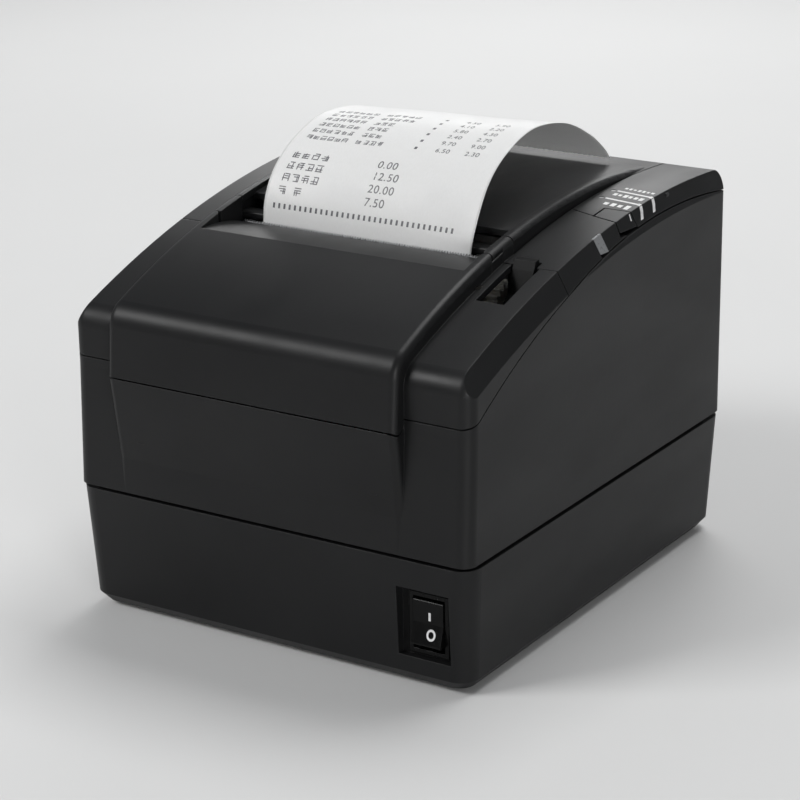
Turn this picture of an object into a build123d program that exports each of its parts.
from build123d import *
from math import acos, cos, hypot, pi, radians, sin, sqrt, tan
import os

# Thermal receipt printer for 80 mm paper, with a power supply in its base.
# Millimetres. X to the right seen from the front, Y to the back, Z up.
# The origin is under the middle of the whole object, on the table.

# ---- outer sizes ---------------------------------------------------------------------
BASE_HALF = 75.0            # half width of the base at its top
BODY_HALF = 74.6            # half width of the upper body
FRONT = -86.0               # base and pillar front, at the seam
REAR = 86.0
SOLE = 1.5                  # underside of the base, above the feet's soles
BASE_TOP = 42.5
BODY_FOOT = 43.6            # lower edge of the upper body
WALL = 2.2                  # moulded wall
SEAM = 0.5                  # gap between neighbouring covers
BLOCK_L, BLOCK_R = -57.0, 51.5      # raised middle block, left and right faces
RIM = 4.0                   # width of the block's raised rims

# ---- paper and mechanism -------------------------------------------------------------
PAPER_L, PAPER_R = -42.9, 36.7      # 79.6 mm wide web
PAPER = 0.12
ROLL_Y, ROLL_Z, ROLL_R, CORE_R = 34.0, 81.0, 33.0, 6.5
PLATEN_Y, PLATEN_Z, PLATEN_R = -14.5, 101.0, 7.0
WEB_Y = PLATEN_Y - PLATEN_R - 0.4   # plane of the web past the head
CUT_Z = 110.9                       # height of the cutter blade
MODULE = 0.8
TEETH_PLATEN, TEETH_IDLER, TEETH_MOTOR = 24, 22, 14
PLATE_R, PLATE_L = 40.2, -46.6      # inner faces of the chassis side plates
SHEET = 1.2                         # chassis sheet

# ---- joint axes ----------------------------------------------------------------------
COVER_Y, COVER_Z = 80.0, 101.0      # paper cover hinge
FLAP_Y, FLAP_Z = -87.75, 85.9       # front cover hinge
KNUCKLE = 3.05                      # radius of the seam round that hinge
FLAP_PIN, COVER_PIN = 0.8, 1.5      # hinge pin radii
RUN = 0.06                          # radial clearance of a running fit
LEVER_Y, LEVER_Z = -34.0, 98.0      # release lever pivot
ROCKER_X, ROCKER_Y, ROCKER_Z = 58.7, -79.5, 21.7

PART_LOW, PART_HIGH = -0.15, 0.35   # edges of the two mouldings at the parting line


# ---- helpers -------------------------------------------------------------------------
def block(x0, x1, y0, y1, z0, z1):
    return Pos((x0 + x1) / 2, (y0 + y1) / 2, (z0 + z1) / 2) * Box(x1 - x0, y1 - y0, z1 - z0)


def rod_x(x0, x1, y, z, r):
    return Pos((x0 + x1) / 2, y, z) * Rot(0, 90, 0) * Cylinder(r, x1 - x0)


def rod_y(x, y0, y1, z, r):
    return Pos(x, (y0 + y1) / 2, z) * Rot(90, 0, 0) * Cylinder(r, y1 - y0)


def rod_z(x, y, z0, z1, r):
    return Pos(x, y, (z0 + z1) / 2) * Cylinder(r, z1 - z0)


def slab(face, x0, x1):
    """A side outline, drawn in (y, z), stretched from x0 to x1."""
    return extrude(Plane.YZ.offset(x0) * face, x1 - x0, dir=(1, 0, 0))


def side_plate(points, x0, x1):
    return slab(make_face(Polyline(*points, close=True)), x0, x1)


def front_plate(points, y0, y1):
    """An outline drawn in (x, z), stretched from y0 to y1."""
    face = make_face(Polyline(*[(x, 0, z) for x, z in points], close=True))
    return Pos(0, y0, 0) * extrude(face, y1 - y0, dir=(0, 1, 0))


def top_plate(points, z0, z1):
    face = make_face(Polyline(*points, close=True))
    return Pos(0, 0, z0) * extrude(face, z1 - z0, dir=(0, 0, 1))


def group(solids):
    """Separate solids that share one node."""
    return Part(children=[s.solid() if len(s.solids()) == 1 else s for s in solids])


class Arc:
    """The upper side of a circle through three (y, z) points."""

    def __init__(self, a, b, c):
        d = 2 * (a[0] * (b[1] - c[1]) + b[0] * (c[1] - a[1]) + c[0] * (a[1] - b[1]))
        sa, sb, sc = [p[0] ** 2 + p[1] ** 2 for p in (a, b, c)]
        self.y = (sa * (b[1] - c[1]) + sb * (c[1] - a[1]) + sc * (a[1] - b[1])) / d
        self.z = (sa * (c[0] - b[0]) + sb * (a[0] - c[0]) + sc * (b[0] - a[0])) / d
        self.r = hypot(a[0] - self.y, a[1] - self.z)

    def at(self, y, lift=0.0):
        return self.z + sqrt(self.r ** 2 - (y - self.y) ** 2) + lift

    def edge(self, y0, y1, lift=0.0):
        ym = (y0 + y1) / 2
        ends = [(y, self.at(y, lift)) for y in (y0, ym, y1)]
        return ThreePointArc(*ends)


CREST = Arc((-84.5, 102.0), (0.0, 126.0), (86.0, 129.2))      # top of the two side strips
MIDDLE = Arc((-84.0, 107.6), (-5.0, 130.1), (78.0, 129.4))    # top of the middle block
PART = Arc((-79.5, 88.7), (0.0, 120.2), (86.0, 122.4))        # parting line in the sides
DISH = Arc((-12.0, MIDDLE.at(-12) - 1.8), (32.0, MIDDLE.at(32) - 1.1), (74.0, MIDDLE.at(74)))


def strip_outline():
    """Side view of the body at its two side strips."""
    face_y = -84.5
    lines = Line((FRONT, BODY_FOOT), (face_y, 83.9))
    lines += Line((face_y, 83.9), (face_y, CREST.at(face_y)))
    lines += CREST.edge(face_y, REAR)
    lines += Line((REAR, CREST.at(REAR)), (REAR, BODY_FOOT))
    lines += Line((REAR, BODY_FOOT), (FRONT, BODY_FOOT))
    face = make_face(lines)
    front_top = face.vertices().filter_by(lambda v: v.X < -80 and v.Y > 95)
    face = fillet(front_top, 8.0)
    return fillet(face.vertices().filter_by(lambda v: v.X > 80 and v.Y > 120), 3.0)


def middle_outline():
    """Side view of the body at its raised middle block."""
    lines = Line((FRONT, BODY_FOOT), (FRONT, 55.5))
    lines += Line((FRONT, 55.5), (-90.0, 83.9))
    lines += Line((-90.0, 83.9), (-88.2, MIDDLE.at(-88.2)))
    lines += MIDDLE.edge(-88.2, REAR)
    lines += Line((REAR, MIDDLE.at(REAR)), (REAR, BODY_FOOT))
    lines += Line((REAR, BODY_FOOT), (FRONT, BODY_FOOT))
    face = make_face(lines)
    front_top = face.vertices().filter_by(lambda v: v.X < -80 and v.Y > 95)
    face = fillet(front_top, 9.0)
    return fillet(face.vertices().filter_by(lambda v: v.X > 80 and v.Y > 120), 3.0)


def rounded(solid, radius):
    """Round the long side edges of a body that was stretched along X."""
    ends = solid.faces().filter_by(Axis.X)
    edges = [e for f in ends for e in f.edges() if e.bounding_box().max.Z > BODY_FOOT + 0.1]
    return fillet(edges, radius)


BEVEL_X, BEVEL_Z = 4.0, 7.0             # steep bevels between the strips' tops and sides


def under_crest(x, drop):
    """Everything below the strips' top line, lowered by drop, in the side plane at x."""
    lines = CREST.edge(-100, 100, -drop)
    lines += Polyline((100, CREST.at(100, -drop)), (100, 30), (-100, 30), (-100, CREST.at(-100, -drop)))
    return Plane.YZ.offset(x) * make_face(lines)


def bevel_room(wall):
    """Everything under the strips' tops and bevels, kept one wall's thickness inside them."""
    slope = BEVEL_Z / BEVEL_X
    shift = wall * hypot(1, slope)
    half = BODY_HALF - wall + 0.01
    edge = BODY_HALF - BEVEL_X - (shift - wall) / slope
    low = (half - BODY_HALF + BEVEL_X) * slope + shift
    room = extrude(under_crest(-edge, wall), 2 * edge, dir=(1, 0, 0))
    room += loft([under_crest(edge, wall), under_crest(half, low)], ruled=True)
    return room + loft([under_crest(-half, low), under_crest(-edge, wall)], ruled=True)


def strip_body(x0, x1):
    """The solid between two side planes with the strips' outline and bevels."""
    return rounded(slab(strip_outline(), x0, x1), 4.5) & bevel_room(0.0)


def strip_core(x0, wall):
    """The room inside that solid, right of x0 and behind a wall of the given thickness."""
    inside = slab(offset(strip_outline(), -wall, kind=Kind.INTERSECTION), x0, BODY_HALF - wall)
    return inside & bevel_room(wall)


# ---- moulded body --------------------------------------------------------------------
def body_shell():
    """The whole upper body as one open shell, before it is parted into covers."""
    middle = middle_outline()
    outer = strip_body(-BODY_HALF, BODY_HALF)
    outer += rounded(slab(middle, BLOCK_L, BLOCK_R), 2.5)
    hollow = BODY_HALF - WALL
    middle_in = offset(middle, -WALL, kind=Kind.INTERSECTION)
    inner = strip_core(-hollow, WALL)
    inner += slab(middle_in, BLOCK_L + WALL, BLOCK_R - WALL)
    inner += block(-hollow, hollow, FRONT + WALL, REAR - WALL, BODY_FOOT - 1, 50)
    return outer, outer - inner


def part_edge(lift):
    """The parting line in side view, from the front seam round the hinge to the rear."""
    seam_z, radius = 83.7 + lift, KNUCKLE - lift
    start_y = FLAP_Y - sqrt(radius ** 2 - (FLAP_Z - seam_z) ** 2)
    lines = Line((-95.0, seam_z), (start_y, seam_z))
    lines += ThreePointArc((start_y, seam_z), (FLAP_Y, FLAP_Z - radius), (FLAP_Y + radius, FLAP_Z))
    lines += Polyline((FLAP_Y + radius, FLAP_Z), (-84.6, 87.0 + lift), (-82.2, 87.7 + lift),
                      (-79.5, PART.at(-79.5, lift)))
    lines += PART.edge(-79.5, 95.0, lift)
    return lines


def above_part(lift):
    lines = part_edge(lift)
    rear_z = PART.at(95.0, lift)
    lines += Polyline((95.0, rear_z), (95.0, 175.0), (-95.0, 175.0), (-95.0, 83.7 + lift))
    return slab(make_face(lines), -80, 80)


CUT_RIGHT, CUT_LEFT = -26.2, -30.0      # cross seams in the right and left strips
MOUTH_Y = -22.6                         # rear edge of the front cover at the paper
RIM_END = -31.8                         # rounded end of the front cover's rims
STUB_END = -19.8                        # rear end of the short fixed rims
DIP_Y = -43.0                           # where the cover starts to dip to the mouth
WELL_L, WELL_R = BLOCK_L + RIM, BLOCK_R - RIM
WINDOW = (54.5, 64.6, -48.0)            # release lever window: left, right, front
COVER_L, COVER_R = BLOCK_L + 0.2, BLOCK_R - 0.2
EAR, EAR_X = 1.3, ((-48.2, -45.6), (40.2, 42.8))    # hinge ears of the mid case


def mouth_edge(lift):
    """Side view of the front cover's top where it dips to the paper mouth."""
    ends = [(DIP_Y, MIDDLE.at(DIP_Y) - 0.3), (-34.0, 122.0), (MOUTH_Y, 120.0)]
    return Spline(*[(y, z + lift) for y, z in ends])


def make_front_cover(outer, shell, upper):
    """Front flap: both strips' front ends and the raised middle in one moulding."""
    side = block(BLOCK_R - 0.1, 80, -95, CUT_RIGHT, 60, 140)
    side += block(-80, BLOCK_L + 0.1, -95, CUT_LEFT, 60, 140)
    zone = side + block(-80, 80, -95, DIP_Y, 60, 140)
    flap = (shell & upper) & zone
    lines = mouth_edge(0.0) + mouth_edge(-2.0)
    lines += Line((DIP_Y, MIDDLE.at(DIP_Y) - 0.3), (DIP_Y, MIDDLE.at(DIP_Y) - 2.3))
    lines += Line((MOUTH_Y, 120.0), (MOUTH_Y, 118.0))
    sill_face = make_face(lines)
    flap += slab(sill_face, WELL_L + 0.4, WELL_R - 0.4)
    rims = (outer & upper) & block(-80, 80, DIP_Y - 0.5, RIM_END, 60, 140)
    for x0, x1 in ((BLOCK_L, WELL_L), (WELL_R, BLOCK_R)):
        plan = block(x0, x1, DIP_Y - 0.5, RIM_END - RIM / 2, 112, 130)
        plan += rod_z((x0 + x1) / 2, RIM_END - RIM / 2, 112, 130, RIM / 2)
        flap += rims & plan
    flap -= block(BLOCK_L - 1, BLOCK_R + 1, DIP_Y, -20, 60, 117.3)
    x0, x1, y0 = WINDOW
    flap -= block(x0, x1, y0, -20, 100, 130)
    for x0, x1 in EAR_X:
        flap -= rod_x(x0 - 0.3, x1 + 0.3, FLAP_Y, FLAP_Z, EAR + 0.25)
        flap -= block(x0 - 0.3, x1 + 0.3, -89.4, -80, 82, FLAP_Z)
    for x0, x1 in ((-54.0, -48.6), (43.1, 48.7)):
        lug = rod_x(x0, x1, FLAP_Y, FLAP_Z, 2.0)
        lug += block(x0, x1, -88.6, -86.0, FLAP_Z, 91.0)
        flap += lug
        flap -= rod_x(x0 - 0.4, x1 + 0.4, FLAP_Y, FLAP_Z, FLAP_PIN + RUN)
    return flap


def make_mid_case(shell):
    """Lower half of the body: walls, floor, front hinge posts and the rear openings."""
    case = shell - above_part(PART_LOW)
    floor = extrude(Pos(0, 0, BODY_FOOT) * RectangleRounded(147, 170, 4), 2.2)
    case += floor
    for sx, sy in CORNERS:
        case += rod_z(sx * SCREW_X, sy * SCREW_Y, BODY_FOOT + 2, 52, 3.6)
        case -= rod_z(sx * SCREW_X, sy * SCREW_Y, 43, 50, 1.5)
    for y0, y1 in FLANGE_Y:
        for x in FLANGE_X:
            case -= rod_z(x, (y0 + y1) / 2, 43, 47, 1.5)
    post = [(-87.0, 62), (-82.6, 62), (-82.6, 86.4), (-87.0, 87.0),
            (-86.9, 84.9), (-85.2, 83.2), (-85.2, 80.5), (-87.0, 79.5)]
    for x0, x1 in EAR_X:
        ear = side_plate(post, x0, x1) + rod_x(x0, x1, FLAP_Y, FLAP_Z, EAR)
        case += ear - rod_x(x0 - 1, x1 + 1, FLAP_Y, FLAP_Z, FLAP_PIN)
    case -= block(COVER_L - 0.2, COVER_R + 0.2, 80, 95, 92.8, 130)
    case -= block(-54.5, 33.5, 80, 95, 53.0, 76.0)
    for x, z in PLATE_SCREWS:
        case -= rod_y(x, 80, 90, z, 1.5)
    for k in range(9):
        case -= block(-75, -71, -20 + 7 * k, -17 + 7 * k, 56, 70)
    return case


def strip_zone(side):
    """Room of one fixed side strip, with its short stub of rim beside the mouth."""
    if side > 0:
        zone = block(BLOCK_R + 0.2, 80, CUT_RIGHT + SEAM, 95, 60, 140)
        zone += block(WELL_R, BLOCK_R + 0.2, CUT_RIGHT + SEAM, STUB_END, 110, 140)
        return zone + block(WELL_R, BLOCK_R - 0.5, RIM_END + 0.3, STUB_END, 110, 140)
    zone = block(-80, BLOCK_L - 0.2, CUT_LEFT + SEAM, 95, 60, 140)
    zone += block(BLOCK_L - 0.2, WELL_L, CUT_LEFT + SEAM, STUB_END, 110, 140)
    return zone + block(BLOCK_L + 0.5, WELL_L, RIM_END + 0.3, STUB_END, 110, 140)


KEY = (61.5, 71.6, 12.4, 21.8)          # feed key: left, right, front, rear
KEY_GAP = 0.55                          # groove round the key
KEY_LOW = 124.4                         # lower edge of the key on the side bevel
LENS = (-2.8, 2.0)                      # status window, front and rear
LED_X, LED_PITCH, LED_Y = 55.0, 8.2, 31.6


def key_plan(grow):
    x0, x1, y0, y1 = KEY
    plan = [(x0 - grow, y0 + 2.3 - grow), (x1 + 4, y0 - 1.6 - grow), (x1 + 4, y1 + grow),
            (x0 - grow, y1 + grow)]
    return top_plate(plan, 100, 140)


def make_strip(outer, shell, upper, side):
    strip = (shell & upper) & strip_zone(side)
    stub = (WELL_R, BLOCK_R - 0.5) if side > 0 else (BLOCK_L + 0.5, WELL_L)
    stub_zone = block(*stub, RIM_END + 0.3, STUB_END, 110, 140)
    strip += (outer & upper) & stub_zone & block(-80, 80, -40, -10, CREST.at(-26) - 2.4, 140)
    return strip


def make_left_strip(outer, shell, upper):
    return make_strip(outer, shell, upper, -1)


def make_console_strip(outer, shell, upper):
    """Right fixed strip, with the key hole, the lamp window and the lever notch."""
    strip = make_strip(outer, shell, upper, 1)
    strip -= key_plan(KEY_GAP) & block(0, 80, 0, 40, KEY_LOW - 1.3, 140)
    strip -= block(69.8, 80, LENS[0], LENS[1], 119.0, 127.8)
    groove = top_plate([(52.5, 17.6), (52.3, 17.0), (61.2, 14.2), (61.2, 14.8)], CREST.at(16) - 0.9, 140)
    strip -= groove
    for k in range(2):
        strip -= rod_z(LED_X, LED_Y + LED_PITCH * k, 110, 140, 0.9)
    strip -= block(WINDOW[0], WINDOW[1] - 1.2, CUT_RIGHT, CUT_RIGHT + 3.8, 110, 140)
    strip += block(70.2, 71.6, 45.6, 47.2, CREST.at(46) - 3.2, CREST.at(46) - 0.6)
    return strip


def make_status_lenses():
    """Light pipe on the side bevel, with its leg, and two round lamp lenses."""
    y0, y1 = LENS[0] + 0.1, LENS[1] - 0.1
    pipe = strip_body(60, BODY_HALF) - strip_core(50, 1.6)
    pipe &= block(69.9, 80, y0, y1, 120.9, 127.6)
    pipe += block(70.0, 71.2, y0 + 0.8, y1 - 0.8, 117.0, 123.0)
    lenses = [pipe]
    for k in range(2):
        y = LED_Y + LED_PITCH * k
        top = CREST.at(y)
        lenses.append(rod_z(LED_X, y, top - 4.6, top - 0.1, 0.8))
    return group(lenses)


def make_feed_button():
    """Key cap that follows the strip's crest and side bevel, with a stem below."""
    key = (strip_body(40, BODY_HALF) - strip_core(30, 1.9)) & key_plan(0)
    key &= block(50, 80, 0, 40, KEY_LOW, 140)
    mid_y = (KEY[2] + KEY[3]) / 2 + 1
    key += block(62.8, 66.8, mid_y - 1.5, mid_y + 1.5, CREST.at(mid_y) - 6.4, CREST.at(mid_y) - 1.5)
    return key


def make_console_board():
    """Key and lamp board under the strip."""
    board = block(53.4, 70.2, -6, 42, 115.2, 116.4)
    board += block(61.8, 67.8, 14.5, 20.5, 116.4, 120.3)
    for k in range(2):
        y = LED_Y + LED_PITCH * k
        board += rod_z(LED_X, y, 116.4, 120.0, 1.5)
    return board


# ---- paper cover ---------------------------------------------------------------------
LIP_Y = -12.0               # front lip of the paper cover
COVER_END = 95.0            # lower end of its rear wall


def dish_face(depth):
    """Side view of a sheet of the given depth under the dished top."""
    y0, y1 = LIP_Y, 74.0
    lines = DISH.edge(y0, y1) + DISH.edge(y0, y1, -depth)
    lines += Line((y0, DISH.at(y0)), (y0, DISH.at(y0, -depth)))
    lines += Line((y1, DISH.at(y1)), (y1, DISH.at(y1, -depth)))
    return make_face(lines)


def make_paper_cover(shell):
    cover = shell & block(COVER_L, COVER_R, STUB_END + 0.5, 95, 80, 140)
    cover -= block(COVER_L - 1, COVER_R + 1, 60, 95, 70, COVER_END)
    floor_y0, floor_y1 = STUB_END, 83.0
    inner = [(floor_y0, 60), (floor_y1, 60), (floor_y1, 118), (60, 118), (floor_y0, 112)]
    cover -= side_plate(inner, COVER_L - 1, COVER_R + 1) & block(-80, 80, -40, 83.7, 60, 118)
    well = block(WELL_L, WELL_R, STUB_END, LIP_Y, 100, 140)
    above = dish_face(-20)
    cover -= well
    cover -= slab(above, WELL_L, WELL_R)
    cover += slab(dish_face(WALL), WELL_L - 1, WELL_R + 1) & block(COVER_L, COVER_R, -90, 90, 90, 140)
    skirt = [(STUB_END + 0.5, 121.5), (STUB_END + 0.5, 112), (-8, 96.0), (2, 96.0), (14, 116), (52, 116),
             (74, 100), (COVER_Y, 96.5), (84.2, 99), (84.2, 122), (60, 129), (0, 128)]
    for x0, x1 in ((COVER_L, COVER_L + 2), (COVER_R - 2, COVER_R)):
        cover += side_plate(skirt, x0, x1)
    for x0, x1 in ((COVER_L, PLATE_L - 1.7), (PLATE_R + 1.7, COVER_R)):
        cover += rod_x(x0, x1, COVER_Y, COVER_Z, 4.0)
        cover -= rod_x(x0 - 1, x1 + 1, COVER_Y, COVER_Z, COVER_PIN + RUN)
    for x in (-30.0, 24.0):
        cover += side_plate([(6, 122), (60, 124), (60, 131), (6, 129)], x, x + 1.6)
    for x in BRACKET_SCREWS:
        cover += rod_z(x, -1.0, 122.8, 127.2, 3.2)
        cover -= rod_z(x, -1.0, 122, 126.0, 1.25)
    corner = block(COVER_L - 1, COVER_R + 1, 84.0, 90, COVER_END - 1, COVER_END + 2)
    keep = rod_x(COVER_L - 1, COVER_R + 1, 84.0, COVER_END + 2, 2.0)
    cover -= corner - keep
    return cover


# ---- base with the power supply ------------------------------------------------------
CREASE_Z = 4.7              # where the base's lower edge turns inwards
FOOT_X, FOOT_Y, FOOT_R, FOOT_TOP = 56.0, 66.0, 7.0, 3.0
SCREW_X, SCREW_Y = 64.0, 46.0
SWITCH = (48.3, 67.1, 10.2, 33.2, -81.5)    # recess: left, right, bottom, top, floor
INLET_X, INLET_Z, INLET_Y = -48.0, 21.5, 85.0
CORNERS = ((-1, -1), (1, -1), (-1, 1), (1, 1))


def rounded_plate(half_x, half_y, radius, z):
    return Pos(0, 0, z) * RectangleRounded(2 * half_x, 2 * half_y, radius)


def make_base_case():
    top = rounded_plate(BASE_HALF, REAR, 7, BASE_TOP)
    crease = rounded_plate(BASE_HALF - 2, REAR - 2, 6.5, CREASE_Z)
    sole = rounded_plate(BASE_HALF - 4.6, REAR - 4.6, 5.5, SOLE)
    case = loft([crease, top]) + loft([sole, crease])
    inner_top = rounded_plate(BASE_HALF - 2.5, REAR - 2.5, 5, BASE_TOP + 0.01)
    inner_low = rounded_plate(BASE_HALF - 5.4, REAR - 5.4, 4, 4.0)
    case -= loft([inner_low, inner_top])
    x0, x1, z0, z1, floor_y = SWITCH
    case += block(x0 - 1.6, x1 + 1.6, -83.6, floor_y + 1.6, z0 - 1.6, z1 + 1.6)
    case -= block(x0, x1, -95, floor_y, z0, z1)
    case -= block(ROCKER_X - 6.7, ROCKER_X + 6.7, -95, -70, ROCKER_Z - 9.8, ROCKER_Z + 9.8)
    case += block(INLET_X - 18, INLET_X + 18, 80.5, INLET_Y, INLET_Z - 13, INLET_Z + 13.5)
    case -= block(INLET_X - 13.6, INLET_X + 13.6, 70, 95, INLET_Z - 9.9, INLET_Z + 9.9)
    case -= block(INLET_X - 16.8, INLET_X + 16.8, INLET_Y, 95, INLET_Z - 12.8, INLET_Z + 12.8)
    for sx, sy in CORNERS:
        case += rod_z(sx * SCREW_X, sy * SCREW_Y, 3.9, 40.0, 4.2)
        case -= rod_z(sx * SCREW_X, sy * SCREW_Y, 0, 41, 1.8)
        case -= rod_z(sx * SCREW_X, sy * SCREW_Y, 0, 5.5, 3.3)
        case -= rod_z(sx * FOOT_X, sy * FOOT_Y, 0, FOOT_TOP, FOOT_R)
        case += rod_z(-9 + sx * 43, sy * 54, 3.9, 8.0, 3.0)
    for k in range(9):
        case -= block(-26 + 6 * k, -23.6 + 6 * k, -28, 28, 0, 5)
    return case


def make_base_deck():
    """Steel lid that closes the base and carries the body."""
    deck = extrude(rounded_plate(71.6, 82.6, 4, 40.0), 1.2)
    for sx, sy in CORNERS:
        deck -= rod_z(sx * SCREW_X, sy * SCREW_Y, 39, 42, 2.0)
    deck -= rod_z(58, 60, 39, 42, 5.0)
    return deck


def make_rubber_feet():
    feet = []
    for sx, sy in CORNERS:
        foot = rod_z(sx * FOOT_X, sy * FOOT_Y, 0, FOOT_TOP, FOOT_R)
        foot = chamfer(foot.edges().sort_by(Axis.Z)[0], 0.8)
        feet.append(foot)
    return group(feet)


def cross_slot(x, y, z, size):
    slot = block(x - size, x + size, y - 0.4, y + 0.4, z, z + 1.1)
    return slot + block(x - 0.4, x + 0.4, y - size, y + size, z, z + 1.1)


def make_base_screws():
    screws = []
    for sx, sy in CORNERS:
        x, y = sx * SCREW_X, sy * SCREW_Y
        screw = rod_z(x, y, 2.6, 5.4, 2.9) + rod_z(x, y, 5.4, 50.0, 1.5)
        screws.append(screw - cross_slot(x, y, 2.5, 1.8))
    return group(screws)


def make_psu_board():
    return block(-56, 38, -59, 59, 8.0, 9.6)


def make_psu_transformer():
    core = block(-30, 2, -14, 18, 9.6, 13.6) + block(-30, 2, -14, 18, 27.6, 31.6)
    core += block(-30, 2, -14, -8, 13.6, 27.6) + block(-30, 2, 12, 18, 13.6, 27.6)
    core += rod_z(-14, 2, 13.6, 27.6, 6)
    coil = rod_z(-14, 2, 14.0, 27.2, 9.6) - rod_z(-14, 2, 13, 28, 6.2)
    return group([core, coil])


def make_psu_capacitors():
    caps = []
    for x, y, r, top in ((-43, 36, 9, 37), (22, 34, 6, 32), (22, 48, 6, 32), (26, -6, 5, 28)):
        can = rod_z(x, y, 9.6, top, r)
        can = fillet(can.edges().sort_by(Axis.Z)[-1], 0.8)
        caps.append(can)
    return group(caps)


def make_psu_heatsink():
    sink = block(-54, 16, -46, -42.5, 9.6, 36)
    for k in range(12):
        sink += block(-53 + 6 * k, -51.4 + 6 * k, -55, -46, 14, 36)
    return sink


def make_ac_inlet():
    """Three-pin appliance inlet: flange, body and the socket well."""
    flange = extrude(Plane.XZ * Pos(INLET_X, INLET_Z) * RectangleRounded(33, 25, 4), -2.2)
    inlet = Pos(0, INLET_Y, 0) * flange
    inlet += block(INLET_X - 13.4, INLET_X + 13.4, 66, INLET_Y, INLET_Z - 9.7, INLET_Z + 9.7)
    well = [(-12.0, -8.2), (12.0, -8.2), (12.0, 3.4), (7.4, 8.2), (-7.4, 8.2), (-12.0, 3.4)]
    well = [(INLET_X + x, INLET_Z + z) for x, z in well]
    inlet -= front_plate(well, 69.5, 90)
    return inlet - make_inlet_pins()


def make_inlet_pins():
    """Three flat blades, standing in the socket well and out of its back."""
    pins = []
    for dx, dz in ((-7.0, -1.2), (0.0, 1.8), (7.0, -1.2)):
        x, z = INLET_X + dx, INLET_Z + dz
        pins.append(block(x - 1, x + 1, 61, INLET_Y - 1.5, z - 2, z + 2))
    return group(pins)


# ---- power switch --------------------------------------------------------------------
ROCKER_REST = -8.0          # the rocker's upper half is pressed in
ROCKER_HALF = 5.4


def make_switch_housing():
    floor_y = SWITCH[4]
    bezel = block(ROCKER_X - 7.5, ROCKER_X + 7.5, floor_y - 1.7, floor_y, ROCKER_Z - 10.5, ROCKER_Z + 10.5)
    front = bezel.faces().sort_by(Axis.Y)[0]
    bezel = chamfer(front.edges(), 0.5)
    body = block(ROCKER_X - 6.6, ROCKER_X + 6.6, floor_y, -66, ROCKER_Z - 9.7, ROCKER_Z + 9.7)
    housing = bezel + body
    housing -= block(ROCKER_X - 5.7, ROCKER_X + 5.7, -90, -73, ROCKER_Z - 8.7, ROCKER_Z + 8.7)
    housing -= rod_x(ROCKER_X - 6.2, ROCKER_X + 6.2, ROCKER_Y, ROCKER_Z, 1.45)
    for dz in (-5, 0, 5):
        z = ROCKER_Z + dz
        housing += block(ROCKER_X - 0.4, ROCKER_X + 0.4, -66, -59.5, z - 2.2, z + 2.2)
    return housing


def make_switch_rocker():
    outline = [(-5.3, 7.4), (-4.3, 0.0), (-5.3, -7.4), (-1.0, -6.8), (2.6, -2.4), (2.6, 2.4), (-1.0, 6.8)]
    face = make_face(Polyline(*outline, close=True))
    rocker = slab(face, -ROCKER_HALF, ROCKER_HALF)
    rocker = fillet(rocker.edges().filter_by(Axis.X).group_by(Axis.Y)[0], 0.6)
    rocker += rod_x(-6.0, 6.0, 0, 0, 1.4)
    return Pos(ROCKER_X, ROCKER_Y, ROCKER_Z) * Rot(ROCKER_REST, 0, 0) * rocker


def lead(points, radius, bend):
    """Round insulated lead along straight runs with rounded bends."""
    path = FilletPolyline(*points, radius=bend)
    return sweep(Plane(origin=path @ 0, z_dir=path % 0) * Circle(radius), path)


def make_switch_wires():
    leads = []
    for dz, x in ((-5, 34.0), (5, 28.0)):
        z = ROCKER_Z + dz
        points = [(ROCKER_X, -59.5, z), (ROCKER_X, -50, z), (x, -38, z), (x, -38, 9.6)]
        leads.append(lead(points, 1.1, 4.0))
    return group(leads)


# ---- ports on the back ---------------------------------------------------------------
PORT_Y = REAR - WALL        # outer face of the port plate, behind the case wall
USB_X, SERIAL_X, DRAWER_X, PORT_Z = 27.0, -6.0, -42.0, 64.5


def make_interface_plate():
    plate = block(-62.0, 41.0, PORT_Y - SHEET, PORT_Y, 51.0, 78.0)
    plate -= block(USB_X - 6.4, USB_X + 6.4, 80, 90, PORT_Z - 5.9, PORT_Z + 5.9)
    plate -= block(SERIAL_X - 9.6, SERIAL_X + 9.6, 80, 90, PORT_Z - 5.4, PORT_Z + 5.4)
    plate -= block(DRAWER_X - 6.9, DRAWER_X + 6.9, 80, 90, PORT_Z - 7.4, PORT_Z + 7.4)
    for dx in (-12.5, 12.5):
        plate -= rod_y(SERIAL_X + dx, 80, 90, PORT_Z, 1.6)
    for x, z in PLATE_SCREWS:
        plate -= rod_y(x, 80, 90, z, 1.5)
    return plate


PLATE_SCREWS = ((-58.0, 74.5), (37.0, 74.5), (-58.0, 54.5), (37.0, 54.5))


def make_interface_board():
    return block(-60, 39, 73.4, 75.0, 47.0, 79.0)


def make_usb_socket():
    """Square peripheral socket with bevelled upper corners."""
    shell = block(USB_X - 6, USB_X + 6, 75.0, 86.0, PORT_Z - 5.5, PORT_Z + 5.5)
    hole = [(-4.3, -3.9), (4.3, -3.9), (4.3, 2.0), (2.6, 3.9), (-2.6, 3.9), (-4.3, 2.0)]
    shell -= front_plate([(USB_X + x, PORT_Z + z) for x, z in hole], 76.5, 90)
    return shell + block(USB_X - 2.8, USB_X + 2.8, 76.0, 84.8, PORT_Z - 1.4, PORT_Z + 1.4)


def shield_outline(grow):
    """The lopsided outline of a nine-way serial connector."""
    wide, narrow, half = 8.4 + grow, 6.9 + grow, 4.0 + grow
    return [(SERIAL_X - narrow, PORT_Z - half), (SERIAL_X + narrow, PORT_Z - half),
            (SERIAL_X + wide, PORT_Z + half), (SERIAL_X - wide, PORT_Z + half)]


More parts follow.
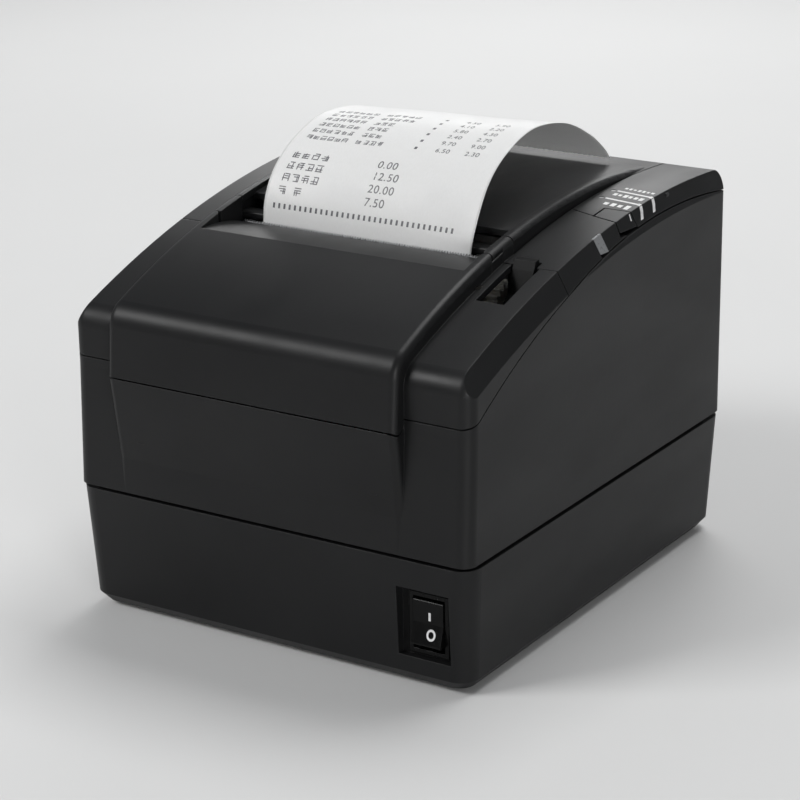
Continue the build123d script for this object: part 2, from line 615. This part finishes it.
def make_serial_socket():
    body = block(SERIAL_X - 9.2, SERIAL_X + 9.2, 75.0, PORT_Y - SHEET - 0.1, PORT_Z - 5.2, PORT_Z + 5.2)
    body += front_plate(shield_outline(0.5), PORT_Y - SHEET - 0.2, 89.4)
    body -= front_plate(shield_outline(0.0), 80.0, 95)
    body += front_plate(shield_outline(-0.8), 79.9, 88.6)
    for row, count in ((1.4, 5), (-1.4, 4)):
        for k in range(count):
            x = SERIAL_X + (k - (count - 1) / 2) * 2.7
            body -= rod_y(x, 82, 95, PORT_Z + row, 0.6)
    return body


def make_drawer_socket():
    """Modular jack for the lead of a cash drawer."""
    jack = block(DRAWER_X - 6.6, DRAWER_X + 6.6, 75.0, 86.0, PORT_Z - 7.0, PORT_Z + 7.0)
    jack -= block(DRAWER_X - 4.9, DRAWER_X + 4.9, 77, 95, PORT_Z - 3.6, PORT_Z + 3.6)
    jack -= block(DRAWER_X - 3.0, DRAWER_X + 3.0, 77, 95, PORT_Z - 5.4, PORT_Z - 3.5)
    jack -= block(DRAWER_X - 1.7, DRAWER_X + 1.7, 79, 95, PORT_Z - 6.2, PORT_Z - 5.3)
    for k in range(6):
        x = DRAWER_X - 2.6 + 1.04 * k
        jack += block(x - 0.25, x + 0.25, 77, 84, PORT_Z + 2.4, PORT_Z + 3.7)
    return jack


def make_jack_posts():
    """Threaded hexagon posts each side of the serial connector."""
    posts = []
    for dx in (-12.5, 12.5):
        hexagon = Pos(SERIAL_X + dx, PORT_Y, PORT_Z) * Rot(90, 0, 0) * RegularPolygon(2.8, 6)
        post = extrude(hexagon, 90.0 - PORT_Y, dir=(0, 1, 0))
        post += rod_y(SERIAL_X + dx, PORT_Y - 4, PORT_Y, PORT_Z, 1.5)
        post -= rod_y(SERIAL_X + dx, 85, 95, PORT_Z, 1.2)
        posts.append(post)
    return posts


# ---- boards --------------------------------------------------------------------------
CHIPS = ((-28, -52, 9, 1.6), (0, -48, 6, 1.4), (18, -60, 4, 1.2), (-34, -20, 5, 1.4))
BOARD_HOLES = ((-40, -72), (32, -72), (-40, -8), (32, -8))


def make_main_board():
    """Controller board with its soldered chips."""
    top = 51.0
    board = block(-44, 36, -76, -4, 49.4, top)
    for x, y in BOARD_HOLES:
        board -= rod_z(x, y, 49, 52, 1.6)
    for x, y, half, rise in CHIPS:
        board += block(x - half, x + half, y - half, y + half, top, top + rise)
        for k in range(8):
            at = y - half + 1 + k * (2 * half - 2) / 7
            board += block(x - half - 1.2, x + half + 1.2, at - 0.2, at + 0.2, top, top + 0.4)
    return board



# ---- gears ---------------------------------------------------------------------------
PRESSURE = radians(20)
TIP, ROOT, BACKLASH = 0.8, 1.15, 0.12       # tooth sizes in modules


def gear_face(teeth, tooth_at):
    """Involute spur gear outline in (y, z), with a tooth centred at the angle given."""
    pitch = MODULE * teeth / 2
    base, tip, root = pitch * cos(PRESSURE), pitch + TIP * MODULE, pitch - ROOT * MODULE
    half = pi / (2 * teeth) - BACKLASH * MODULE / (2 * pitch)
    at_pitch = tan(PRESSURE) - PRESSURE
    flank = []
    for k in range(5):
        r = max(base, root) + (tip - max(base, root)) * k / 4
        roll = acos(base / r)
        flank.append((r, half + at_pitch - (tan(roll) - roll)))
    flank.insert(0, (root, flank[0][1]))
    points = []
    for n in range(teeth):
        centre = radians(tooth_at) + 2 * pi * n / teeth
        side = [(r, centre - a) for r, a in flank] + [(r, centre + a) for r, a in reversed(flank)]
        points += [(r * cos(a), r * sin(a)) for r, a in side]
    return make_face(Polyline(*points, close=True))


def gear(teeth, tooth_at, y, z, x0, x1):
    return Pos(0, y, z) * slab(gear_face(teeth, tooth_at), x0, x1)


GEAR_X0, GEAR_X1 = 42.6, 46.6
IDLER_Z = PLATEN_Z - MODULE * (TEETH_PLATEN + TEETH_IDLER) / 2
MOTOR_AT = 90 - 7.5 * 360 / TEETH_IDLER      # direction of the motor seen from the idler
MOTOR_PITCH = MODULE * (TEETH_IDLER + TEETH_MOTOR) / 2
MOTOR_Y = PLATEN_Y + MOTOR_PITCH * cos(radians(MOTOR_AT))
MOTOR_Z = IDLER_Z + MOTOR_PITCH * sin(radians(MOTOR_AT))
MOTOR_R, MOTOR_X0, MOTOR_X1 = 17.5, 48.6, 68.0
SHAFT_R, STUD_R = 3.0, 1.5


def make_platen_gear():
    wheel = gear(TEETH_PLATEN, -90, PLATEN_Y, PLATEN_Z, GEAR_X0, GEAR_X1)
    wheel -= rod_x(40, 50, PLATEN_Y, PLATEN_Z, SHAFT_R)
    groove = rod_x(GEAR_X1 - 1, GEAR_X1 + 1, PLATEN_Y, PLATEN_Z, 7.4)
    return wheel - (groove - rod_x(40, 50, PLATEN_Y, PLATEN_Z, 4.6))


def make_idler_gear():
    wheel = gear(TEETH_IDLER, 90 + 180 / TEETH_IDLER, PLATEN_Y, IDLER_Z, GEAR_X0, GEAR_X1)
    wheel -= rod_x(40, 50, PLATEN_Y, IDLER_Z, STUD_R + RUN)
    groove = rod_x(GEAR_X1 - 1, GEAR_X1 + 1, PLATEN_Y, IDLER_Z, 6.6)
    return wheel - (groove - rod_x(40, 50, PLATEN_Y, IDLER_Z, 3.2))


def make_motor_pinion():
    """Motor shaft with its pinion."""
    wheel = gear(TEETH_MOTOR, MOTOR_AT + 180 + 180 / TEETH_MOTOR, MOTOR_Y, MOTOR_Z, GEAR_X0, GEAR_X1)
    return wheel + rod_x(GEAR_X0 - 0.6, 62, MOTOR_Y, MOTOR_Z, 1.0)



# ---- chassis -------------------------------------------------------------------------
SPACERS = ((-28.0, 84.0), (11.0, 89.0), (-24.0, 60.0))
FLANGE_Y = ((-46.0, -36.0), (56.0, 66.0))
FLANGE_X = (45.5, -51.5)
SHAFT_Y, SHAFT_Z = LEVER_Y, LEVER_Z


def chassis_plate(x0, x1):
    outline = [(-46, 45.8), (-36, 45.8), (-36, 57), (56, 57), (56, 45.8), (66, 45.8), (66, 97.8),
               (COVER_Y, 97.8), (COVER_Y, 104.2), (62, 104.2), (52, 94), (0, 94), (-6, 103.5),
               (-10.35, 103.5), (-10.35, PLATEN_Z), (-18.65, PLATEN_Z), (-18.65, 114), (-44, 114),
               (-46, 112)]
    plate = side_plate(outline, x0, x1) + rod_x(x0, x1, COVER_Y, COVER_Z, 3.2)
    plate -= rod_x(x0 - 1, x1 + 1, PLATEN_Y, PLATEN_Z, 4.15)
    plate -= rod_x(x0 - 1, x1 + 1, COVER_Y, COVER_Z, COVER_PIN)
    plate -= rod_x(x0 - 1, x1 + 1, SHAFT_Y, SHAFT_Z, STUD_R + RUN)
    plate -= side_plate([(4, 64), (44, 64), (44, 86), (4, 86)], x0 - 1, x1 + 1)
    return plate


def make_chassis():
    """Folded sheet frame: two side plates, three cross beams and four foot flanges."""
    right_out, left_out = PLATE_R + SHEET, PLATE_L - SHEET
    frame = chassis_plate(PLATE_R, right_out) + chassis_plate(left_out, PLATE_L)
    frame -= rod_x(PLATE_R - 1, right_out + 1, PLATEN_Y, IDLER_Z, STUD_R)
    frame -= rod_x(PLATE_R - 1, right_out + 1, MOTOR_Y, MOTOR_Z, 3.0)
    frame += block(left_out, right_out, -40.0, -38.8, 88, 108)
    frame += block(left_out, right_out, -46.0, -36.0, 57, 58.2)
    frame += block(left_out, right_out, 56.0, 66.0, 49.6, 50.8)
    for y0, y1 in FLANGE_Y:
        frame += block(right_out - 0.1, 49.0, y0, y1, 45.8, 47.0)
        frame += block(-55.0, left_out + 0.1, y0, y1, 45.8, 47.0)
        for x in FLANGE_X:
            frame -= rod_z(x, (y0 + y1) / 2, 45, 48, 1.5)
    for y, z in SPACERS:
        frame -= rod_x(PLATE_R - 1, right_out + 1, y, z, 1.25)
    return frame


def make_gear_plate():
    """Outer plate with its three spacers and the idler's stud; it carries the motor."""
    x0 = MOTOR_X0 - SHEET
    outline = [(-32, 55.5), (17, 55.5), (17, 94), (3, 94), (-3, 90), (-32, 90)]
    plate = side_plate(outline, x0, MOTOR_X0)
    plate -= rod_x(x0 - 1, MOTOR_X0 + 1, MOTOR_Y, MOTOR_Z, 5.0)
    plate += rod_x(PLATE_R, x0 + 0.1, PLATEN_Y, IDLER_Z, STUD_R)
    for y, z in SPACERS:
        plate += rod_x(PLATE_R + SHEET, x0 + 0.1, y, z, 2.6)
        plate += rod_x(PLATE_R, PLATE_R + SHEET + 0.1, y, z, 1.25)
    for y, z in MOTOR_EARS:
        plate -= rod_x(x0 - 1, MOTOR_X0 + 1, y, z, 1.25)
    return plate


EAR_R = 20.5
MOTOR_EARS = [(MOTOR_Y + EAR_R * cos(a), MOTOR_Z + EAR_R * sin(a)) for a in (pi / 4, 5 * pi / 4)]


def make_feed_motor():
    motor = rod_x(MOTOR_X0 + 0.8, MOTOR_X1, MOTOR_Y, MOTOR_Z, MOTOR_R)
    motor = fillet(motor.edges().filter_by(GeomType.CIRCLE).sort_by(Axis.X)[-1], 1.2)
    motor += rod_x(MOTOR_X0, MOTOR_X0 + 0.9, MOTOR_Y, MOTOR_Z, MOTOR_R)
    motor += rod_x(MOTOR_X0 - SHEET + 0.1, MOTOR_X0, MOTOR_Y, MOTOR_Z, 4.9)
    for y, z in MOTOR_EARS:
        ear = rod_x(MOTOR_X0, MOTOR_X0 + 0.8, y, z, 3.6)
        bridge_y, bridge_z = (MOTOR_Y + y) / 2, (MOTOR_Z + z) / 2
        ear += rod_x(MOTOR_X0, MOTOR_X0 + 0.8, (bridge_y + y) / 2, (bridge_z + z) / 2, 4.5)
        motor += ear
        motor -= rod_x(MOTOR_X0 - 1, MOTOR_X0 + 2, y, z, 1.25)
    motor -= rod_x(MOTOR_X0 - 2, 62.5, MOTOR_Y, MOTOR_Z, 1.0 + RUN)
    return motor


def make_machine_screws():
    """Screws of the chassis feet, the motor and the port plate, spacers and jack posts."""
    screws = make_jack_posts()
    for x, y in BOARD_HOLES:
        spacer = rod_z(x, y, 45.8, 49.4, 3.0) + rod_z(x, y, 49.4, 51.0, 1.5)
        screws.append(spacer + rod_z(x, y, 51.0, 52.6, 2.7))
    for y0, y1 in FLANGE_Y:
        for x in FLANGE_X:
            y = (y0 + y1) / 2
            screw = rod_z(x, y, 43.8, 47.0, 1.5) + rod_z(x, y, 47.0, 48.8, 2.8)
            screws.append(screw - cross_slot(x, y, 47.9, 1.8))
    for y, z in MOTOR_EARS:
        screw = rod_x(MOTOR_X0 - SHEET - 1, MOTOR_X0 + 0.8, y, z, 1.25)
        screw += rod_x(MOTOR_X0 + 0.8, MOTOR_X0 + 2.4, y, z, 2.3)
        screws.append(screw - block(MOTOR_X0 + 1.7, MOTOR_X0 + 3, y - 0.3, y + 0.3, z - 1.6, z + 1.6))
    for x, z in PLATE_SCREWS:
        screw = rod_y(x, REAR, REAR + 1.6, z, 2.7) + rod_y(x, PORT_Y - 5, REAR, z, 1.5)
        screw -= block(x - 1.8, x + 1.8, REAR + 0.8, REAR + 2, z - 0.4, z + 0.4)
        screw -= block(x - 0.4, x + 0.4, REAR + 0.8, REAR + 2, z - 1.8, z + 1.8)
        screws.append(screw)
    return group(screws)


# ---- print head and paper path -------------------------------------------------------
HEAD_L, HEAD_R = -43.6, 37.4
HEAD_Y = WEB_Y - 0.3        # face of the head
SPRING_X = (-25.0, 19.0)


def make_print_head():
    head = block(HEAD_L, HEAD_R, HEAD_Y - 4.4, HEAD_Y - 1.1, 91, 108)
    for k in range(5):
        head -= block(HEAD_L - 1, HEAD_R + 1, HEAD_Y - 5, HEAD_Y - 3.4, 92.2 + 1.6 * k, 93.0 + 1.6 * k)
    return head


def make_head_element():
    """Ceramic strip with the raised line of heating dots."""
    strip = block(PAPER_L, PAPER_R, HEAD_Y - 1.1, HEAD_Y - 0.15, 96, 106)
    dots = rod_x(PAPER_L, PAPER_R, HEAD_Y - 0.75, PLATEN_Z, 0.75)
    return strip + (dots & block(-60, 60, HEAD_Y - 1.1, HEAD_Y, 95, 107))


def make_head_springs():
    springs = []
    for x in SPRING_X:
        length = (HEAD_Y - 4.4) - (-38.8)
        path = Helix(pitch=1.75, height=length - 0.9, radius=2.6)
        wire = sweep(Plane(origin=path @ 0, z_dir=path % 0) * Circle(0.35), path)
        springs.append(Pos(x, -38.8 + 0.45, 104.2) * Rot(-90, 0, 0) * wire)
    return group(springs)


def make_head_cable():
    """Flat cable from the head down to its socket on the board."""
    y = HEAD_Y - 2.6
    run = [(y, 91), (y, 60), (y - 6, 55.2), (y - 5.8, 54.9), (y + 0.35, 59.8), (y + 0.35, 91)]
    cable = side_plate(run, -20, 14)
    return cable + block(-22, 16, y - 10, y - 4.6, 51.0, 55.6)


def make_paper_bucket():
    """Drop-in trough for the roll, with its ramp up to the head."""
    inner, outer, centre_z = 36.5, 38.1, ROLL_Z + 3.2
    x0, x1 = PLATE_L + 0.6, PLATE_R - 0.4
    ring = rod_x(x0, x1, ROLL_Y, centre_z, outer)
    keep = [(ROLL_Y, centre_z), (ROLL_Y - 60, centre_z - 54), (ROLL_Y - 60, 20), (ROLL_Y + 60, 20),
            (ROLL_Y + 60, centre_z + 28)]
    trough = (ring - rod_x(x0 + 1.2, x1 - 1.2, ROLL_Y, centre_z, inner)) & side_plate(keep, x0, x1)
    cheek = [(ROLL_Y + 1, 48), (ROLL_Y + 1, 92), (-12, 92), (-14, 86), (7, 58)]
    cheeks = side_plate(cheek, x0, x0 + 1.2)
    cheeks += Pos(x1 - 1.2 - x0, 0, 0) * cheeks
    trough += cheeks & block(x0, x1, -20, 80, 40, 92)
    trough += side_plate([(6.9, 57.6), (6.9, 59.9), (-13.4, 85.3), (-15.0, 84.0)], x0, x1)
    return trough + block(-40, 34, 30, 38, 45.8, 47)


def make_paper_sensor():
    sensor = block(-12, 2, -15.5, -9.0, 68, 74)
    return sensor + block(-8, -2, -9.2, -6.4, 70, 73)


def make_paper_roll():
    roll = rod_x(PAPER_L, PAPER_R, ROLL_Y, ROLL_Z, ROLL_R)
    return roll - rod_x(PAPER_L - 1, PAPER_R + 1, ROLL_Y, ROLL_Z, CORE_R)


def make_roll_core():
    core = rod_x(PAPER_L - 0.2, PAPER_R + 0.2, ROLL_Y, ROLL_Z, CORE_R)
    return core - rod_x(PAPER_L - 1, PAPER_R + 1, ROLL_Y, ROLL_Z, CORE_R - 1.2)


def make_paper_web():
    """Paper between the roll and the cutter, 0.4 mm clear of the roll and the platen."""
    away = ROLL_R + 0.4
    lean = radians(218.0)
    start = (ROLL_Y + away * cos(lean), ROLL_Z + away * sin(lean))
    rise = 43.0
    bend = (start[0] + rise * cos(lean - pi / 2), start[1] + rise * sin(lean - pi / 2))
    line = [start, bend, (WEB_Y, bend[1] + 4.2), (WEB_Y, CUT_Z - 0.6)]
    back = [(y + PAPER, z + 0.03) for y, z in reversed(line)]
    return side_plate(line + back, PAPER_L, PAPER_R)


# ---- platen on the paper cover -------------------------------------------------------
def make_platen_shaft():
    return rod_x(-48.9, 46.9, PLATEN_Y, PLATEN_Z, SHAFT_R)


def make_platen_rubber():
    tube = rod_x(-43.3, 37.3, PLATEN_Y, PLATEN_Z, PLATEN_R)
    return tube - rod_x(-50, 50, PLATEN_Y, PLATEN_Z, SHAFT_R)


def make_platen_bushes():
    bushes = []
    for x0, x1 in ((39.95, 42.2), (-48.4, -46.3)):
        bush = rod_x(x0, x1, PLATEN_Y, PLATEN_Z, 4.0)
        bushes.append(bush - rod_x(x0 - 1, x1 + 1, PLATEN_Y, PLATEN_Z, SHAFT_R + RUN))
    return group(bushes)


def make_platen_bracket():
    """Folded sheet under the cover's lip that carries the platen and the fixed blade."""
    arms = [(-18.0, 97.4), (-5.8, 97.4), (-5.8, 119.0), (-9.0, 119.0), (-18.0, 107.5)]
    bracket = block(-44.6, 38.6, -7.0, -5.8, 96.0, 122.8)
    bracket += side_plate(arms, 37.8, 38.6) + side_plate(arms, -44.6, -43.8)
    bracket += block(-44.6, 38.6, -7.0, 4.0, 121.6, 122.8)
    bracket += block(-43.0, 37.0, -12.6, -6.0, 108.6, 109.7)
    bracket -= rod_x(-60, 60, PLATEN_Y, PLATEN_Z, SHAFT_R + RUN)
    for x in BRACKET_SCREWS:
        bracket -= rod_z(x, -1.0, 121, 124, 1.25)
    return bracket


BRACKET_SCREWS = (-36.0, 30.0)


def make_bracket_screws():
    screws = []
    for x in BRACKET_SCREWS:
        screws.append(rod_z(x, -1.0, 119.8, 121.6, 2.4) + rod_z(x, -1.0, 121.6, 126.0, 1.25))
    return group(screws)


def make_fixed_blade():
    edge = [(-21.2, 110.4), (-20.6, 109.7), (-8.0, 109.7), (-8.0, 110.4)]
    return side_plate(edge, -43.0, 37.0)


def make_paper_guide():
    """Ribbed bar behind the paper slot, under the cover's lip."""
    bar = block(-54.7, 49.2, -18.4, -12.8, 119.6, 122.4)
    bar = fillet(bar.edges().filter_by(Axis.X), 1.0)
    for k in range(24):
        x = -49.6 + 4.0 * k
        bar += block(x, x + 0.8, -18.4 + 0.4, -15.0, 113.8, 120.6)
    return bar


# ---- cutter --------------------------------------------------------------------------
CUTTER_L, CUTTER_R = -45.4, 39.0
WHEEL_Y, WHEEL_TEETH = -54.0, 14
WHEEL_R = MODULE * WHEEL_TEETH / 2
RACK_Z = CUT_Z - 1.3        # pitch line of the rack
WHEEL_Z = RACK_Z - WHEEL_R


def make_cutter_frame():
    frame = block(CUTTER_L, CUTTER_R, -44.0, -23.6, 108.5, 113.0)
    frame -= block(-43.6, 37.6, -43.0, -20.0, 110.3, 111.5)
    frame -= block(31.6, 37.6, -50, -30, 108.4, 111.5)
    frame += block(29.6, 30.8, -61, -43, 98.0, 113.0)
    frame += block(10.0, 11.2, -62, -43, 96.0, 113.0)
    frame -= rod_x(9, 12, -53.5, 103.4, 1.0)
    frame += block(CUTTER_L, CUTTER_R, -44.0, -41.5, 112.0, 115.0)
    frame += rod_x(30.8, 39.8, WHEEL_Y, WHEEL_Z, 1.6)
    return frame


def make_moving_blade():
    """Sliding blade with a toothed arm under its right end."""
    plan = [(-43, -42), (37, -42), (37, -23.4), (-3, -22.9), (-43, -23.4)]
    blade = top_plate(plan, CUT_Z - 0.3, CUT_Z + 0.3)
    arm = block(32.4, 36.8, -64, -42, RACK_Z + 0.9, CUT_Z + 0.3)
    pitch = pi * MODULE
    lean = tan(PRESSURE)
    half = pitch / 4 - BACKLASH * MODULE / 2
    for k in range(-2, 4):
        y = WHEEL_Y - k * pitch
        low, high = RACK_Z - TIP * MODULE, RACK_Z + 1.0
        tooth = [(y - half + TIP * MODULE * lean, low), (y + half - TIP * MODULE * lean, low),
                 (y + half + lean, high), (y - half - lean, high)]
        arm += side_plate(tooth, 32.4, 36.8)
    return blade + arm


def make_cutter_thumbwheel():
    wheel = gear(WHEEL_TEETH, 90 + 180 / WHEEL_TEETH, WHEEL_Y, WHEEL_Z, 32.2, 37.2)
    rim = rod_x(37.2, 39.4, WHEEL_Y, WHEEL_Z, 8.0)
    for k in range(24):
        a = 2 * pi * k / 24
        rim -= rod_x(37, 40, WHEEL_Y + 8.3 * cos(a), WHEEL_Z + 8.3 * sin(a), 0.6)
    return wheel + rim - rod_x(30, 42, WHEEL_Y, WHEEL_Z, 1.6 + RUN)


def make_cutter_motor():
    motor = rod_x(-16, 10.0, -53.5, 103.4, 7.0)
    motor += block(11.2, 19, -60, -47, 97, 110)
    return motor + rod_x(10.0, 11.3, -53.5, 103.4, 0.9)


# ---- release lever -------------------------------------------------------------------
def make_release_lever():
    """Thumb lever that stands in the window of the right strip."""
    tab_back, tab_front = -23.4, -25.6
    outline = [(LEVER_Y - 4.5, LEVER_Z - 3), (LEVER_Y + 4.5, LEVER_Z - 3), (-26.5, 112.0)]
    outline += [(tab_back, 117.0), (tab_back, CREST.at(tab_back) + 1.6)]
    outline += [(tab_front, CREST.at(tab_front) + 1.8), (tab_front - 1.2, CREST.at(tab_front) - 1.2)]
    outline += [(-29.5, 112.5), (-36.0, 107.0), (-38.0, 104.0)]
    lever = side_plate(outline, 55.1, 62.8)
    lever -= side_plate([(-35.0, 101.5), (-31.5, 101.5), (-30.0, 108.0), (-34.6, 105.0)], 57.0, 60.9)
    return lever - rod_x(50, 70, LEVER_Y, LEVER_Z, STUD_R)


def make_release_shaft():
    """Cross shaft with two arms that push the platen out of its notches."""
    shaft = rod_x(-48.6, 66.9, LEVER_Y, LEVER_Z, STUD_R)
    outline = [(LEVER_Y - 2, LEVER_Z - 2.4), (-12.6, 90.9), (-12.0, 92.7), (LEVER_Y + 2, LEVER_Z + 2)]
    for x0, x1 in ((38.9, 39.9), (-45.9, -44.9)):
        shaft += side_plate(outline, x0, x1) + rod_x(x0, x1, LEVER_Y, LEVER_Z, 3.2)
    return shaft


def make_lever_bracket():
    bracket = block(65.2, 66.4, -40, -28, 45.8, 102.5) + block(58, 66.4, -40, -28, 45.8, 47.0)
    return bracket - rod_x(60, 70, LEVER_Y, LEVER_Z, STUD_R + RUN)


def make_hinge_pins():
    """Steel pins of the two covers, fixed in the chassis and in the mid case."""
    pins = [rod_x(PLATE_R - 0.8, COVER_R - 0.6, COVER_Y, COVER_Z, COVER_PIN)]
    pins.append(rod_x(COVER_L + 0.6, PLATE_L + 0.8, COVER_Y, COVER_Z, COVER_PIN))
    pins.append(rod_x(-53.6, -45.6, FLAP_Y, FLAP_Z, FLAP_PIN))
    pins.append(rod_x(40.2, 48.3, FLAP_Y, FLAP_Z, FLAP_PIN))
    return group(pins)


# ---- tear bar and receipt ------------------------------------------------------------
TEAR_L, TEAR_R, TEAR_PITCH, TEAR_FOOT = -50.6, 45.2, 1.0, 114.8


def make_tear_bar():
    """Steel strip along the mouth with a saw-toothed upper edge."""
    count = int((TEAR_R - TEAR_L) / TEAR_PITCH)
    points = [(TEAR_R, TEAR_FOOT), (TEAR_L, TEAR_FOOT)]
    for k in range(count):
        x = TEAR_L + TEAR_PITCH * k
        points += [(x, 120.1), (x + TEAR_PITCH / 2, 120.8)]
    points.append((TEAR_L + TEAR_PITCH * count, 120.1))
    return front_plate(points, MOUTH_Y, MOUTH_Y + 0.5)


RECEIPT = ((-21.75, 111.6), (-21.6, 119.6), (-19.0, 128.2), (-10.5, 140.9), (2.0, 149.2), (20.0, 153.6),
           (40.0, 150.8), (57.0, 143.6), (67.5, 136.6), (71.8, 131.6))


def make_receipt():
    """Printed strip that stands out of the slot and curls back onto the cover."""
    thick = 0.3
    line = Spline(*RECEIPT)
    steps = 24
    front, back = [], []
    for k in range(steps + 1):
        at, way = line @ (k / steps), line % (k / steps)
        front.append((at.X, at.Y))
        back.append((at.X + way.Y * thick, at.Y - way.X * thick))
    edges = Spline(*front) + Spline(*back) + Line(front[0], back[0]) + Line(front[-1], back[-1])
    return slab(make_face(edges), PAPER_L, PAPER_R)


# ---- assembly ------------------------------------------------------------------------
def main():
    outer, shell = body_shell()
    upper = above_part(PART_HIGH)
    nodes = {
        "base_case": make_base_case(),
        "base_deck": make_base_deck(),
        "rubber_feet": make_rubber_feet(),
        "base_screws": make_base_screws(),
        "psu_board": make_psu_board(),
        "psu_transformer": make_psu_transformer(),
        "psu_capacitors": make_psu_capacitors(),
        "psu_heatsink": make_psu_heatsink(),
        "ac_inlet": make_ac_inlet(),
        "inlet_pins": make_inlet_pins(),
        "switch_housing": make_switch_housing(),
        "switch_rocker": make_switch_rocker(),
        "switch_wires": make_switch_wires(),
        "mid_case": make_mid_case(shell),
        "left_strip": make_left_strip(outer, shell, upper),
        "console_strip": make_console_strip(outer, shell, upper),
        "feed_button": make_feed_button(),
        "status_lenses": make_status_lenses(),
        "console_board": make_console_board(),
        "front_cover": make_front_cover(outer, shell, upper),
        "tear_bar": make_tear_bar(),
        "paper_cover": make_paper_cover(shell),
        "hinge_pins": make_hinge_pins(),
        "paper_guide": make_paper_guide(),
        "platen_bracket": make_platen_bracket(),
        "bracket_screws": make_bracket_screws(),
        "platen_bushes": make_platen_bushes(),
        "platen_shaft": make_platen_shaft(),
        "platen_rubber": make_platen_rubber(),
        "platen_gear": make_platen_gear(),
        "idler_gear": make_idler_gear(),
        "motor_pinion": make_motor_pinion(),
        "feed_motor": make_feed_motor(),
        "gear_plate": make_gear_plate(),
        "chassis": make_chassis(),
        "machine_screws": make_machine_screws(),
        "print_head": make_print_head(),
        "head_element": make_head_element(),
        "head_springs": make_head_springs(),
        "head_cable": make_head_cable(),
        "fixed_blade": make_fixed_blade(),
        "moving_blade": make_moving_blade(),
        "cutter_frame": make_cutter_frame(),
        "cutter_motor": make_cutter_motor(),
        "cutter_thumbwheel": make_cutter_thumbwheel(),
        "release_lever": make_release_lever(),
        "release_shaft": make_release_shaft(),
        "lever_bracket": make_lever_bracket(),
        "main_board": make_main_board(),
        "paper_bucket": make_paper_bucket(),
        "paper_sensor": make_paper_sensor(),
        "paper_roll": make_paper_roll(),
        "roll_core": make_roll_core(),
        "paper_web": make_paper_web(),
        "receipt": make_receipt(),
        "interface_plate": make_interface_plate(),
        "interface_board": make_interface_board(),
        "usb_socket": make_usb_socket(),
        "serial_socket": make_serial_socket(),
        "drawer_socket": make_drawer_socket(),
    }
    os.makedirs("parts", exist_ok=True)
    for name, shape in nodes.items():
        export_step(shape, "parts/" + name + ".step")
    print(len(nodes), "nodes")


if __name__ == "__main__":
    main()
